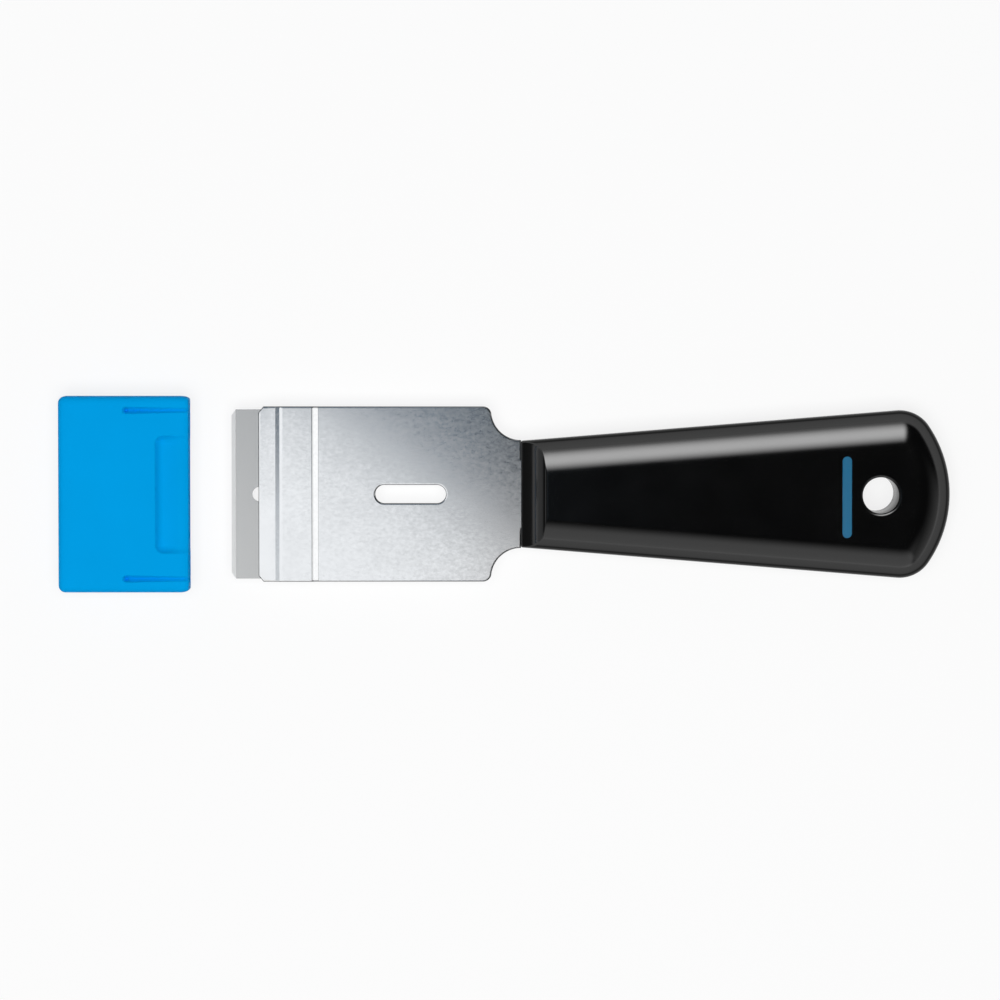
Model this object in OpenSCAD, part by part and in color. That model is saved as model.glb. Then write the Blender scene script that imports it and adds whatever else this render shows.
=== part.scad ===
// Razor blade scraper: a single-edge blade held between two sprung steel leaves,
// a plastic handle moulded round the leaves' tangs, and a push-on cap for the blade.
// Lengths are in millimetres. X runs from the cap to the handle's tail and Z is up.
// The handle lies on the plane Z = 0, and the leaves meet on its middle plane.

/* [Blade] */
// Width of the blade along its cutting edge
blade_w = 39; // [30:0.5:60]
// Depth of the blade from its cutting edge to the back of its spine
blade_d = 18.3; // [17:0.1:22]
// Thickness of the blade's steel
blade_t = 0.3; // [0.2:0.05:0.6]
// Width of the ground bevel on each face of the blade
bevel_w = 0.92; // [0.5:0.02:1.5]
// Length of each clipped corner along the cutting edge
clip_w = 1.4; // [0.5:0.1:3]
// Depth of each clipped corner behind the cutting edge
clip_d = 1; // [0.5:0.1:3]
// Diameter of the round hole in the blade
hole_d = 3.2; // [2:0.1:4]
// Distance from the cutting edge to the centre of the hole
hole_x = 6.4; // [4:0.1:8]

/* [Spine] */
// Depth of the folded spine on the blade's back
spine_d = 6.7; // [4:0.1:7.5]
// Thickness of the folded spine, the blade included
spine_t = 1; // [0.8:0.05:1.6]
// Distance from each end of the blade to the end of the spine
spine_inset = 0.5; // [0.1:0.1:2]

/* [Blade holder] */
// Thickness of the sheet steel of each leaf
leaf_t = 0.8; // [0.5:0.05:1.2]
// How far a leaf reaches past each end of the blade
leaf_overhang = 0.65; // [0.1:0.05:2]
// Distance from the cutting edge to the lips of the leaves
reveal = 6.24; // [4:0.02:8]
// Clearance between the leaves and each face of the blade and its spine
grip_gap = 0.05; // [0.02:0.01:0.2]
// Clearance in front of the spine and behind it in its channel
channel_gap = 0.15; // [0.05:0.05:0.5]
// Length of the sloping wall in front of the channel
front_slope = 1.27; // [0.8:0.01:1.6]
// Length of the sloping wall behind the channel
rear_slope = 1.34; // [0.8:0.01:2.5]
// Length of each clipped corner along the lip
lip_clip_w = 1.4; // [0.5:0.1:3]
// Depth of each clipped corner behind the lip
lip_clip_d = 1.1; // [0.5:0.1:3]
// Length of the slot through both leaves
slot_l = 16.3; // [8:0.1:22]
// Width of the slot through both leaves
slot_w = 4.25; // [3:0.05:8]
// Distance from the cutting edge to the centre of the slot
slot_x = 41.2; // [34:0.1:46]
// Distance from the cutting edge to the front of the handle
holder_l = 66.6; // [64:0.1:100]
// Radius of the outside corners at the back of the leaves
shoulder_r = 1.95; // [0.5:0.05:3]
// Radius of the inside curve from the leaf to its neck
neck_r = 6.9; // [6.5:0.1:9]
// Width of the neck where the leaves meet the handle
neck_w = 24.8; // [22:0.1:26]

/* [Tang] */
// Length of the tang inside the handle
tang_l = 50; // [45:0.5:65]
// Width of the tang inside the handle
tang_w = 16; // [12:0.5:19]
// Radius of the corners at the end of the tang
tang_r = 3; // [1:0.5:5]
// Diameter of the two holes that the plastic fills
tang_hole_d = 6; // [3:0.5:8]
// Distance from the front of the handle to the first tang hole
tang_hole_x = 14; // [8:0.5:18]
// Distance between the two tang holes
tang_hole_pitch = 22; // [12:0.5:24]

/* [Handle] */
// Length of the handle
handle_l = 98.6; // [92:0.1:140]
// Thickness of the handle
handle_t = 17; // [16.5:0.1:24]
// Radius of the rounding along the sides of the handle
handle_side_r = 8; // [6:0.1:8.2]
// Width of the handle at its front
handle_front_w = 24.5; // [24:0.1:30]
// Width of the handle across its tail corners
handle_tail_w = 38.6; // [34:0.1:44]
// Radius of the curve across the end of the tail
handle_end_r = 28; // [24:0.5:40]
// Thickness of the collar where the leaves come out
nose_t = 4.4; // [3:0.1:7]
// Length of the hollow curve from the collar to the full thickness
nose_l = 5.6; // [4:0.1:8]
// Radius of the hollow curve of the nose
nose_r = 9.5; // [8:0.5:20]
// Diameter of the hanging hole
bore_d = 8.3; // [5:0.1:12]
// Distance from the end of the tail to the centre of the hanging hole
bore_x = 16.4; // [14:0.1:24]
// Width of the broken edge at both ends of the hanging hole
bore_chamfer = 0.5; // [0.2:0.1:1]

/* [Cap] */
// Length of the cap
cap_l = 30; // [28:0.1:36]
// Distance from the mouth of the cap to the cutting edge, with the cap taken off
cap_off = 9.7; // [4:0.1:40]
// Thickness of the cap's upper and lower walls
cap_wall = 1.7; // [1.2:0.1:2.5]
// Thickness of the cap's side walls
cap_side_wall = 2.1; // [1.8:0.1:4]
// Thickness of the cap's end wall
cap_end_wall = 2; // [1.5:0.1:4]
// Clearance between each side of the leaves and the cap
cap_side_gap = 0.3; // [0.1:0.05:1]
// Radius of the rounding at the closed end of the cap
cap_end_r = 1.5; // [0.8:0.1:1.6]
// Radius of the rounding at the mouth of the cap
cap_mouth_r = 0.8; // [0.5:0.1:1.2]
// Length of the thumb recess from the mouth of the cap
recess_l = 7.7; // [6:0.1:10]
// Width of the thumb recess
recess_w = 27.1; // [16:0.1:28]
// Depth of the thumb recess, whose inside is the latch
recess_depth = 0.75; // [0.4:0.05:1]
// Length of the sloping wall of the thumb recess
recess_slope = 1.9; // [1:0.1:3]
// Size of the clipped corners of the thumb recess
recess_clip = 1.2; // [0.5:0.1:3]
// Clearance between the latch and the raised band of the leaves
latch_gap = 0.1; // [0.05:0.05:0.3]
// Length of each groove in the cap
groove_l = 14; // [8:0.1:18]
// Width of each groove in the cap
groove_w = 1.5; // [1:0.1:2]
// Depth of each groove at its inner end
groove_depth = 0.9; // [0.5:0.05:1.1]
// Distance from the mouth of the cap to the end of a groove
groove_end = 1.1; // [0.9:0.1:3]
// Distance from the side of the cap to the middle of a groove
groove_inset = 3.2; // [3:0.05:4]

/* [Hidden] */
// Faces round each rounded corner of the handle and the cap
round_faces = 32;
// How far a cut runs past the surface that it opens
overrun = 1;

fold_t = (spine_t - blade_t) / 2;
steel_d = blade_d - fold_t;
leaf_w = blade_w + 2 * leaf_overhang;
leaf_l = holder_l + tang_l;
lip_z = blade_t / 2 + grip_gap;
channel_z = spine_t / 2 + grip_gap;
band_z = channel_z + leaf_t;
channel_front = blade_d - spine_d - channel_gap;
channel_back = blade_d + channel_gap;
front_shift = leaf_t * tan(atan((channel_z - lip_z) / front_slope) / 2);
rear_shift = leaf_t * tan(atan(channel_z / rear_slope) / 2);
shoulder_y = leaf_w / 2 - shoulder_r;
neck_centre_y = neck_w / 2 + neck_r;
shoulder_x = holder_l - sqrt(pow(neck_r, 2) - pow(neck_centre_y - shoulder_y, 2));

handle_end = holder_l + handle_l;
handle_flat = handle_t / 2 - handle_side_r;
front_corner_y = handle_front_w / 2 - handle_side_r;
tail_corner_y = handle_tail_w / 2 - handle_side_r;
tail_arc_r = handle_end_r - handle_side_r;
tail_angle = asin(tail_corner_y / tail_arc_r);
tail_steps = 8;
nose_rise = (handle_t - nose_t) / 2;
nose_chord = norm([nose_l, nose_rise]);
nose_reach = sqrt(pow(nose_r, 2) - pow(nose_chord / 2, 2));
bore_at = handle_end - bore_x;

latch_z = band_z + latch_gap;
pocket_z = latch_z + recess_depth;
pocket_w = leaf_w + 2 * cap_side_gap;
cap_w = pocket_w + 2 * cap_side_wall;
cap_z = pocket_z + cap_wall;
groove_y = cap_w / 2 - groove_inset;
groove_start = cap_l - groove_end - groove_l;

total_l = cap_l + cap_off + handle_end;
edge_x = cap_l + cap_off - total_l / 2;
cap_x = -total_l / 2;
mid_z = handle_t / 2;

steel = "#b9bcc0";
blade_grey = "#b3b3b3";
spine_grey = "#8f959b";
handle_black = "#141414";
cap_blue = "#009fe8";

// Moves what is drawn from the cutting edge's own place to its place in the whole tool
module place_tool() {
    translate([edge_x, 0, mid_z]) children();
}

// Turns an outline drawn in X and Z into a solid of the given width across Y
module across(width) {
    translate([0, width / 2, 0]) rotate([90, 0, 0]) linear_extrude(width) children();
}

// Solid of revolution with a round side, flat for the given half height about its middle
module puck(radius, half_flat) {
    quarter = round_faces / 4;
    lower = [for (i = [0 : quarter]) let (a = -90 + 90 * i / quarter)
        [radius * cos(a), radius * sin(a) - half_flat]];
    upper = [for (i = [0 : quarter]) let (a = 90 * i / quarter)
        [radius * cos(a), radius * sin(a) + half_flat]];
    rotate_extrude($fn = round_faces) polygon(concat(lower, upper));
}

// Slot outline with round ends, centred on the origin and running along X
module slot_outline(length, width) {
    square([length - width, width], center = true);
    for (side = [-1, 1]) translate([side * (length - width) / 2, 0]) circle(d = width, $fn = 48);
}

// Blade outline with clipped corners at the cutting edge
module blade_outline() {
    half = blade_w / 2;
    polygon([
        [0, clip_w - half], [clip_d, -half], [steel_d, -half],
        [steel_d, half], [clip_d, half], [0, half - clip_w]
    ]);
}

module blade() {
    color(blade_grey) place_tool() difference() {
        intersection() {
            across(blade_w) polygon([
                [0, 0], [bevel_w, -blade_t / 2], [steel_d, -blade_t / 2],
                [steel_d, blade_t / 2], [bevel_w, blade_t / 2]
            ]);
            translate([0, 0, -overrun]) linear_extrude(2 * overrun) blade_outline();
        }
        translate([hole_x, 0, 0]) cylinder(d = hole_d, h = 2 * overrun, center = true, $fn = 48);
    }
}

module blade_spine() {
    color(spine_grey) place_tool() across(blade_w - 2 * spine_inset) difference() {
        union() {
            translate([blade_d - spine_d, -spine_t / 2]) square([spine_d - spine_t / 2, spine_t]);
            translate([blade_d - spine_t / 2, 0]) circle(d = spine_t, $fn = 32);
        }
        translate([blade_d - spine_d - overrun, -blade_t / 2])
            square([steel_d - blade_d + spine_d + overrun, blade_t]);
    }
}

// Outline of a leaf in plan: lip, shoulders, neck and tang
module leaf_outline() {
    half = leaf_w / 2;
    polygon([
        [reveal, lip_clip_w - half], [reveal + lip_clip_d, -half], [shoulder_x - shoulder_r, -half],
        [shoulder_x - shoulder_r, half], [reveal + lip_clip_d, half], [reveal, half - lip_clip_w]
    ]);
    translate([shoulder_x - 2 * shoulder_r, -shoulder_y]) square([2 * shoulder_r, 2 * shoulder_y]);
    for (side = [-1, 1])
        translate([shoulder_x - shoulder_r, side * shoulder_y]) circle(r = shoulder_r, $fn = 48);
    difference() {
        translate([shoulder_x - shoulder_r, -shoulder_y])
            square([holder_l - shoulder_x + shoulder_r, 2 * shoulder_y]);
        for (side = [-1, 1])
            translate([holder_l, side * neck_centre_y]) circle(r = neck_r, $fn = 96);
    }
    tang_outline(tang_r);
}

// Outline of the tang, from a little in front of the handle to its rounded end
module tang_outline(front) {
    translate([holder_l - front, -tang_w / 2]) square([front + tang_l - tang_r, tang_w]);
    translate([leaf_l - 2 * tang_r, tang_r - tang_w / 2]) square([2 * tang_r, tang_w - 2 * tang_r]);
    for (side = [-1, 1])
        translate([leaf_l - tang_r, side * (tang_w / 2 - tang_r)]) circle(r = tang_r, $fn = 48);
}

// The two holes of the tang, as solids that run past both of its faces
module tang_holes(reach) {
    for (i = [0, 1])
        translate([holder_l + tang_hole_x + i * tang_hole_pitch, 0, 0])
            cylinder(d = tang_hole_d, h = 2 * reach, center = true, $fn = 48);
}

// Section of a leaf from lip to tang: the sheet steps up over the spine and down to the other leaf
module leaf_section() {
    polygon([
        [reveal, lip_z],
        [channel_front - front_slope, lip_z],
        [channel_front, channel_z],
        [channel_back, channel_z],
        [channel_back + rear_slope, 0],
        [leaf_l, 0],
        [leaf_l, leaf_t],
        [channel_back + rear_slope + rear_shift, leaf_t],
        [channel_back + rear_shift, band_z],
        [channel_front - front_shift, band_z],
        [channel_front - front_slope - front_shift, lip_z + leaf_t],
        [reveal, lip_z + leaf_t]
    ]);
}

// One stamped leaf, lying with its flat on the middle plane
module leaf() {
    difference() {
        intersection() {
            across(leaf_w + 2 * overrun) leaf_section();
            translate([0, 0, -overrun]) linear_extrude(band_z + 2 * overrun) leaf_outline();
        }
        translate([slot_x, 0, -overrun]) linear_extrude(leaf_t + 2 * overrun) slot_outline(slot_l, slot_w);
        tang_holes(leaf_t + overrun);
    }
}

module upper_leaf() {
    color(steel) place_tool() leaf();
}

// The same stamping turned over
module lower_leaf() {
    color(steel) place_tool() rotate([180, 0, 0]) leaf();
}

// Outside of the handle before its nose, hole and tang are cut
module handle_body() {
    hull() {
        for (side = [-1, 1])
            translate([holder_l, side * front_corner_y, 0]) puck(handle_side_r, handle_flat);
        for (i = [0 : tail_steps]) let (a = tail_angle * (2 * i / tail_steps - 1))
            translate([handle_end - handle_end_r + tail_arc_r * cos(a), tail_arc_r * sin(a), 0])
                puck(handle_side_r, handle_flat);
    }
}

// Round bar that hollows the top of the nose, from the collar back to the full thickness
module nose_cut() {
    centre_x = holder_l + nose_l / 2 - nose_reach * nose_rise / nose_chord;
    centre_z = nose_t / 2 + nose_rise / 2 + nose_reach * nose_l / nose_chord;
    translate([centre_x, handle_tail_w / 2, centre_z]) rotate([90, 0, 0])
        cylinder(r = nose_r, h = handle_tail_w, $fn = 96);
}

module handle() {
    color(handle_black) place_tool() difference() {
        handle_body();
        translate([holder_l - handle_tail_w, -handle_tail_w / 2, -handle_t])
            cube([handle_tail_w, handle_tail_w, 2 * handle_t]);
        nose_cut();
        mirror([0, 0, 1]) nose_cut();
        translate([bore_at, 0, 0]) cylinder(d = bore_d, h = handle_t + 2 * overrun, center = true, $fn = 96);
        for (side = [0, 1]) mirror([0, 0, side])
            translate([bore_at, 0, handle_t / 2 - bore_chamfer])
                cylinder(d1 = bore_d, d2 = bore_d + 4 * bore_chamfer, h = 2 * bore_chamfer, $fn = 96);
        difference() {
            translate([0, 0, -leaf_t]) linear_extrude(2 * leaf_t) tang_outline(overrun);
            tang_holes(2 * leaf_t);
        }
    }
}

// Outside of the cap: a flat box with every edge rounded
module cap_body() {
    hull() for (side_y = [-1, 1], side_z = [-1, 1]) {
        translate([cap_end_r, side_y * (cap_w / 2 - cap_end_r), side_z * (cap_z - cap_end_r)])
            puck(cap_end_r, 0);
        translate([cap_l - cap_mouth_r, side_y * (cap_w / 2 - cap_mouth_r), side_z * (cap_z - cap_mouth_r)])
            puck(cap_mouth_r, 0);
    }
}

// Thumb recess as a solid whose floor is at the given height and whose top is cut off above it
module recess(floor_z, rise) {
    start = cap_l - recess_l;
    half = recess_w / 2;
    intersection() {
        across(recess_w) polygon([
            [start, floor_z + recess_depth + rise],
            [start, floor_z + recess_depth],
            [start + recess_slope, floor_z],
            [cap_l + overrun, floor_z],
            [cap_l + overrun, floor_z + recess_depth + rise]
        ]);
        linear_extrude(cap_z + 2 * overrun) polygon([
            [start, recess_clip - half], [start + recess_clip, -half], [cap_l + overrun, -half],
            [cap_l + overrun, half], [start + recess_clip, half], [start, half - recess_clip]
        ]);
    }
}

// Space inside the cap, drawn in by the latches behind the thumb recesses
module cap_pocket() {
    difference() {
        translate([cap_end_wall, -pocket_w / 2, -pocket_z])
            cube([cap_l - cap_end_wall + overrun, pocket_w, 2 * pocket_z]);
        for (side = [0, 1]) mirror([0, 0, side]) recess(latch_z, overrun);
    }
}

// Groove that runs out towards the mouth, with a round hole through the wall at its inner end
module groove() {
    run = groove_l - groove_w / 2;
    translate([groove_start + groove_w / 2, groove_y, cap_z]) {
        across(groove_w) polygon([
            [0, -groove_depth], [run, 0], [run, overrun], [0, overrun]
        ]);
        translate([0, 0, -cap_wall - overrun]) cylinder(d = groove_w, h = cap_wall + 2 * overrun, $fn = 32);
    }
}

module blade_cap() {
    color(cap_blue) translate([cap_x, 0, mid_z]) difference() {
        cap_body();
        cap_pocket();
        for (side = [0, 1]) mirror([0, 0, side]) {
            recess(cap_z - recess_depth, overrun);
            for (end = [0, 1]) mirror([0, end, 0]) groove();
        }
    }
}

handle();
upper_leaf();
lower_leaf();
blade();
blade_spine();
blade_cap();
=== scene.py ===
"""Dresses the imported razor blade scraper: handle, blade holder, blade, cap, and the studio round them.

Sizes are in millimetres and meshes are drawn in the tool's own frame: X runs from the cutting edge
towards the handle's tail and Z = 0 is the plane on which the two leaves meet. Each mesh is then
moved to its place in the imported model's frame and brought to metres. The studio's sizes are in
metres, apart from the camera's sensor.
"""

import logging
import math
from dataclasses import dataclass, field
from enum import Enum

import bmesh
import bpy
from bmesh.types import BMEdge, BMesh, BMFace, BMVert
from bpy.types import AreaLight, Collection, Material, Node, NodeSocket, NodeTree, Object, Scene
from mathutils import Matrix, Vector

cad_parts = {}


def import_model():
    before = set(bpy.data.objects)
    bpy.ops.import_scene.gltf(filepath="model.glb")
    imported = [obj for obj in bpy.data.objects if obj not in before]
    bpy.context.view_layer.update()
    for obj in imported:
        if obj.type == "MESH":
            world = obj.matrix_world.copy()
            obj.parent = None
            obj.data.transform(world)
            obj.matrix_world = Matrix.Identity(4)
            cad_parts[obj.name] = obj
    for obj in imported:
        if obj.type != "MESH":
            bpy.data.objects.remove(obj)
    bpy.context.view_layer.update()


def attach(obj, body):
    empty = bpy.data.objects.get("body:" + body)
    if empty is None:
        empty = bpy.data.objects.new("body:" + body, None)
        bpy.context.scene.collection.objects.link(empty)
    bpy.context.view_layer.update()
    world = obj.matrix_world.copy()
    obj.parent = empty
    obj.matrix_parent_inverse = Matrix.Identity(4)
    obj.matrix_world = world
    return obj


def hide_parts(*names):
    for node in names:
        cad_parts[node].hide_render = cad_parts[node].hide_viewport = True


log = logging.getLogger("razor_blade_scraper")

# METRE is a millimetre in metres. EDGE_X, CAP_X and MID_Z place the tool's and the cap's own frames in
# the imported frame. MERGE and NEAR are distances within which points are one point, or lie in one plane.
METRE = 0.001
EDGE_X = -62.75
CAP_X = -102.45
MID_Z = 8.5
MERGE = 1e-4
NEAR = 1e-3
QUARTER = math.pi / 2
ALONG_Y = Vector((0, 1, 0))
UP = Vector((0, 0, 1))


class Body(Enum):
    """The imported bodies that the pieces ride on."""

    SCRAPER = "scraper"
    RAZOR = "razor"
    CAP = "cap"


class Turn(Enum):
    """Which way up a leaf lies."""

    UPPER = 1
    LOWER = -1


def to_linear(colour: str) -> tuple[float, float, float, float]:
    """Turns an sRGB hex colour to the linear values that a socket holds.

    Args:
        colour: A colour such as "#0a97d3".

    Returns:
        Linear red, green and blue, and an alpha of 1.
    """
    shares = [int(colour[place : place + 2], 16) / 255 for place in (1, 3, 5)]
    linear = [s / 12.92 if s <= 0.04045 else ((s + 0.055) / 1.055) ** 2.4 for s in shares]
    return (linear[0], linear[1], linear[2], 1.0)


def set_inputs(tree: NodeTree, node: Node, inputs: dict) -> None:
    """Fills a node's sockets.

    Args:
        tree: The node's tree.
        node: The node.
        inputs: A value, or the socket to link from, by the input's name or number.
    """
    for socket, value in inputs.items():
        if isinstance(value, NodeSocket):
            tree.links.new(value, node.inputs[socket])
        else:
            node.inputs[socket].default_value = value


def add_node(tree: NodeTree, kind: str, settings: dict, inputs: dict) -> Node:
    """Adds a node with its settings and fills its sockets.

    Args:
        tree: The tree that gets the node.
        kind: The node's type, without the word that all of them start with.
        settings: Properties of the node by name.
        inputs: A value, or the socket to link from, by the input's name or number.

    Returns:
        The new node.
    """
    node = tree.nodes.new(f"ShaderNode{kind}")
    for name, value in settings.items():
        setattr(node, name, value)
    set_inputs(tree, node, inputs)
    return node


def new_material(name: str) -> tuple[Material, NodeTree, NodeSocket]:
    """Starts a material with a shader, an output and the piece's own coordinates.

    Args:
        name: The material's name.

    Returns:
        The material, its tree with the nodes Shader and Output, and the Object coordinates.
    """
    material = bpy.data.materials.new(name)
    material.use_nodes = True
    tree = material.node_tree
    tree.nodes.clear()
    shader = add_node(tree, "BsdfPrincipled", {"name": "Shader"}, {})
    add_node(tree, "OutputMaterial", {"name": "Output"}, {"Surface": shader.outputs["BSDF"]})
    return material, tree, add_node(tree, "TexCoord", {}, {}).outputs["Object"]


def per_metre(size_mm: float) -> float:
    """Gives the scale of a pattern whose features are as large as the given size."""
    return 1.0 / (size_mm * METRE)


def noise(
    tree: NodeTree, place: NodeSocket, size_mm: float, detail: float = 2.0, fade: float = 0.5
) -> NodeSocket:
    """Gives a cloudy pattern whose features are as large as the given size."""
    inputs = {"Vector": place, "Scale": per_metre(size_mm), "Detail": detail, "Roughness": fade}
    return add_node(tree, "TexNoise", {}, inputs).outputs["Fac"]


def ramp(
    tree: NodeTree,
    value: NodeSocket,
    span: tuple[float, float],
    ends: tuple[float, float] = (0.0, 1.0),
    kind: str = "LINEAR",
) -> NodeSocket:
    """Maps the span of a value to the range between two ends, and holds the ends beyond it."""
    inputs = {"Value": value, "From Min": span[0], "From Max": span[1], "To Min": ends[0], "To Max": ends[1]}
    return add_node(tree, "MapRange", {"interpolation_type": kind}, inputs).outputs["Result"]


def vary(tree: NodeTree, pattern: NodeSocket, middle: float, by: float, half: float = 0.2) -> NodeSocket:
    """Varies a value up and down from its middle, while a pattern goes from half below 0.5 to half above."""
    return ramp(tree, pattern, (0.5 - half, 0.5 + half), (middle - by, middle + by))


def tint(tree: NodeTree, colour: str, shade: NodeSocket) -> NodeSocket:
    """Gives a colour that a shade makes lighter and darker."""
    inputs = {0: to_linear(colour)[:3], "Scale": shade}
    return add_node(tree, "VectorMath", {"operation": "SCALE"}, inputs).outputs["Vector"]


def relief(tree: NodeTree, pattern: NodeSocket, height_mm: float) -> NodeSocket:
    """Gives the normals of a surface that a pattern raises by up to the given height."""
    inputs = {"Strength": 1.0, "Distance": height_mm * METRE, "Height": pattern}
    return add_node(tree, "Bump", {}, inputs).outputs["Normal"]


def stretch(tree: NodeTree, place: NodeSocket, scale: tuple[float, float, float]) -> NodeSocket:
    """Gives coordinates that are scaled along each axis."""
    return add_node(tree, "Mapping", {}, {"Vector": place, "Scale": scale}).outputs["Vector"]


def calculate(tree: NodeTree, operation: str, first: NodeSocket, second: NodeSocket | float) -> NodeSocket:
    """Works out one sum with two values."""
    return add_node(tree, "Math", {"operation": operation}, {0: first, 1: second}).outputs["Value"]


def calculate_vector(tree: NodeTree, operation: str, *terms: NodeSocket | Vector) -> NodeSocket:
    """Works out one sum with one or two vectors."""
    return add_node(tree, "VectorMath", {"operation": operation}, dict(enumerate(terms))).outputs["Vector"]


def mix_shaders(tree: NodeTree, share: NodeSocket, first: NodeSocket, second: NodeSocket) -> NodeSocket:
    """Mixes two shaders, with all of the second where the share is 1."""
    return add_node(tree, "MixShader", {}, {"Fac": share, 1: first, 2: second}).outputs["Shader"]


def seen_rays(tree: NodeTree) -> NodeSocket:
    """Tells what the camera sees, straight or in gloss or glass, from what else light reaches.

    Args:
        tree: The tree that gets the nodes.

    Returns:
        A socket that is 1 for what the camera sees.
    """
    rays = add_node(tree, "LightPath", {}, {}).outputs
    either = calculate(tree, "MAXIMUM", rays["Is Camera Ray"], rays["Is Glossy Ray"])
    return calculate(tree, "MAXIMUM", either, rays["Is Transmission Ray"])


def smooth_step(low: float, high: float, value: float) -> float:
    """Gives a soft step from 0 at low to 1 at high."""
    share = min(max((value - low) / (high - low), 0.0), 1.0)
    return share * share * (3.0 - 2.0 * share)


def parts_of(made: dict, kind: type) -> list:
    """Picks the parts of one kind out of those that an operator has made."""
    return [part for part in made["geom"] if isinstance(part, kind)]


def everything(bm: BMesh) -> list:
    """Lists a mesh's points, edges and faces."""
    return bm.verts[:] + bm.edges[:] + bm.faces[:]


def merge(bm: BMesh) -> None:
    """Joins the points that lie on each other."""
    bmesh.ops.remove_doubles(bm, verts=bm.verts, dist=MERGE)


def mirror(bm: BMesh, axis: str) -> None:
    """Adds a mesh's mirror image across the plane square to an axis, joined where the two touch."""
    bmesh.ops.mirror(bm, geom=everything(bm), axis=axis, merge_dist=MERGE)


def fill_flat(bm: BMesh, edges: list[BMEdge], normal: tuple[float, float, float]) -> list[BMFace]:
    """Fills a flat outline round its holes and gives the new faces."""
    return parts_of(bmesh.ops.triangle_fill(bm, edges=edges, use_beauty=True, normal=normal), BMFace)


def round_over(bm: BMesh, edges: list[BMEdge], width: float, steps: int) -> None:
    """Rounds edges over by the given width."""
    shape = {"offset_type": "OFFSET", "profile": 0.5, "affect": "EDGES", "material": -1}
    bmesh.ops.bevel(bm, geom=edges, offset=width, segments=steps, **shape)


def pull_rim(bm: BMesh, edges: list[BMEdge]) -> tuple[list[BMVert], list[BMEdge]]:
    """Pulls new faces out of a rim, whose points the piece then moves.

    Args:
        bm: The mesh.
        edges: The rim's edges.

    Returns:
        The points and the edges of the new rim.
    """
    made = bmesh.ops.extrude_edge_only(bm, edges=edges)
    points = parts_of(made, BMVert)
    return points, [edge for edge in parts_of(made, BMEdge) if all(end in points for end in edge.verts)]


def join_mesh(bm: BMesh, other: BMesh) -> None:
    """Adds a mesh that was drawn by itself.

    Args:
        bm: The mesh that gets the other.
        other: The mesh that is added, which is freed.
    """
    carrier = bpy.data.meshes.new("carrier")
    other.to_mesh(carrier)
    other.free()
    bm.from_mesh(carrier)
    bpy.data.meshes.remove(carrier)


def lay_sheet(bm: BMesh, columns: list[list[Vector]]) -> list[list[BMVert]]:
    """Lays a sheet of quads through places that are listed column by column.

    Args:
        bm: The mesh that gets the sheet.
        columns: The places, equally many in each column.

    Returns:
        The mesh's points in the same order.
    """
    rows = len(columns[0])
    made = bmesh.ops.create_grid(bm, x_segments=len(columns) - 1, y_segments=rows - 1, size=0.5)
    points = sorted(made["verts"], key=lambda v: (round(v.co.x, 6), round(v.co.y, 6)))
    for point, place in zip(points, [place for column in columns for place in column]):
        point.co = place
    return [points[start : start + rows] for start in range(0, len(points), rows)]


def open_edges(bm: BMesh, low: Vector, high: Vector) -> list[BMEdge]:
    """Gives the open edges whose two ends lie inside a box.

    Args:
        bm: The mesh.
        low: The box's lowest corner.
        high: The box's highest corner.

    Returns:
        The edges with a face on one side alone.
    """
    return [
        edge
        for edge in bm.edges
        if edge.is_boundary and all(low[i] <= end.co[i] <= high[i] for end in edge.verts for i in range(3))
    ]


@dataclass
class Pen:
    """Draws a chain of edges in one plane of a mesh, as lines and arcs.

    Attributes:
        bm: The mesh that is drawn in.
        tip: The point that the chain has reached.
        axis: The direction square to the plane, round which arcs turn.
        bend_steps: The number of edges in the rounding of a corner.
    """

    bm: BMesh
    tip: BMVert
    axis: Vector
    bend_steps: int = 8

    def line_to(self, *place: float) -> None:
        """Draws a straight edge to a point."""
        self.tip = bmesh.ops.extrude_vert_indiv(self.bm, verts=[self.tip])["verts"][0]
        self.tip.co = Vector(place)

    def arc(self, centre: Vector, degrees: float, steps: int) -> None:
        """Draws an arc.

        Args:
            centre: The arc's centre.
            degrees: Its angle, by the right hand rule round the axis.
            steps: The number of its edges.
        """
        turn = math.radians(degrees)
        made = bmesh.ops.spin(self.bm, geom=[self.tip], cent=centre, axis=self.axis, angle=turn, steps=steps)
        self.tip = next(part for part in made["geom_last"] if isinstance(part, BMVert))

    def bend(self, corner: Vector, after: Vector, radius: float, margin: float) -> None:
        """Draws up to a corner and rounds it on the way to the next point.

        Args:
            corner: Where the two straight runs would meet.
            after: A point on the run after the corner.
            radius: The radius of the rounding.
            margin: The length of the short straight edges beside the rounding, which keep the runs flat.
        """
        before_way = (corner - self.tip.co).normalized()
        after_way = (after - corner).normalized()
        turn = math.atan2(self.axis.dot(before_way.cross(after_way)), before_way.dot(after_way))
        start = corner - before_way * radius * math.tan(abs(turn) / 2)
        inward = self.axis.cross(before_way) * math.copysign(radius, turn)
        self.line_to(*(start - before_way * margin))
        self.line_to(*start)
        self.arc(start + inward, math.degrees(turn), self.bend_steps)
        self.line_to(*(self.tip.co + after_way * margin))


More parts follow.
